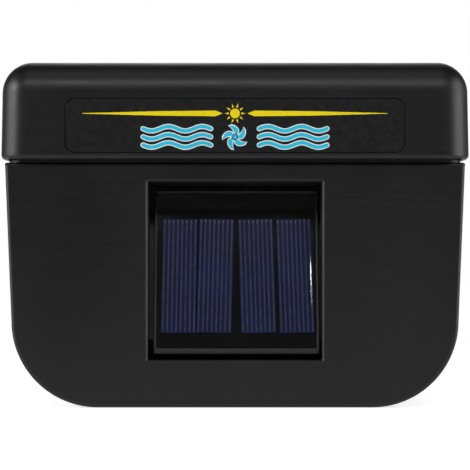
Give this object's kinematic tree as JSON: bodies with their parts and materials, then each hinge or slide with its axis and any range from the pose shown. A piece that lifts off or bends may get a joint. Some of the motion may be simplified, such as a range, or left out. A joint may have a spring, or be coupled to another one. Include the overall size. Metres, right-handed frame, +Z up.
{
  "type": "solar car window fan",
  "caption": "Solar ventilation fan that hangs on the top edge of a car's side window, with a tilted solar panel outside and cross-flow drums inside.",
  "frame": {"origin": "on the surface that both casings stand on, under the middle of the hood", "axes": "+Z up, -Y out of the car towards the sun, +Y into the cabin, +X along the rotor's axis, to the right of someone who looks at the solar panel"},
  "size_m": [0.16, 0.08, 0.1176],
  "materials": {
    "black_abs": "fine satin moulded ABS, black",
    "badge_gloss": "gloss black label with yellow, cyan and white print",
    "inner_black": "plain moulded black",
    "cell": "dark blue silicon cell with fine silver fingers",
    "resin": "clear cast resin, high gloss",
    "rubber": "soft matt black rubber",
    "magnet": "sintered ferrite, matt",
    "steel": "zinc plated",
    "iron": "stacked laminations",
    "brass": "satin",
    "red_pvc": "satin PVC insulation, red",
    "black_pvc": "satin PVC insulation, black"
  },
  "bodies": {
    "housing": {"hood": "black_abs", "front_shell": "black_abs", "rear_shell": "black_abs", "outer_plate": "black_abs", "inner_plate": "black_abs", "bridge": "black_abs", "badge": "badge_gloss", "panel_tray": "inner_black", "panel_board": "inner_black", "motor_cap": "inner_black", "air_guide_left": "inner_black", "air_guide_right": "inner_black", "cell_1": "cell", "cell_2": "cell", "cell_3": "cell", "cell_4": "cell", "panel_resin": "resin", "glass_seat": "rubber", "glass_pad_outer": "rubber", "glass_pad_inner": "rubber", "motor_sleeve": "rubber", "magnet_front": "magnet", "magnet_rear": "magnet", "motor_can": "steel", "motor_strap": "steel", "plate_screw_1": "steel", "plate_screw_2": "steel", "plate_screw_3": "steel", "plate_screw_4": "steel", "casing_screw_1": "steel", "casing_screw_2": "steel", "casing_screw_3": "steel", "casing_screw_4": "steel", "bridge_screw_1": "steel", "bridge_screw_2": "steel", "bridge_screw_3": "steel", "bridge_screw_4": "steel", "hood_screw_left": "steel", "hood_screw_right": "steel", "strap_screw_lower": "steel", "strap_screw_upper": "steel", "guide_screw_1": "steel", "guide_screw_2": "steel", "guide_screw_3": "steel", "guide_screw_4": "steel", "terminal_positive": "brass", "terminal_negative": "brass", "bush_left": "brass", "bush_right": "brass", "wire_red": "red_pvc", "wire_black": "black_pvc"},
    "rotor": {"rotor_shaft": "steel", "armature": "iron", "impeller_left": "inner_black", "impeller_right": "inner_black"}
  },
  "joints": [
    {"name": "rotor_spin", "type": "hinge", "parent": "housing", "child": "rotor", "pos_m": [0, 0.01825, 0.058], "axis": [-1, 0, 0], "continuous": true}
  ]
}
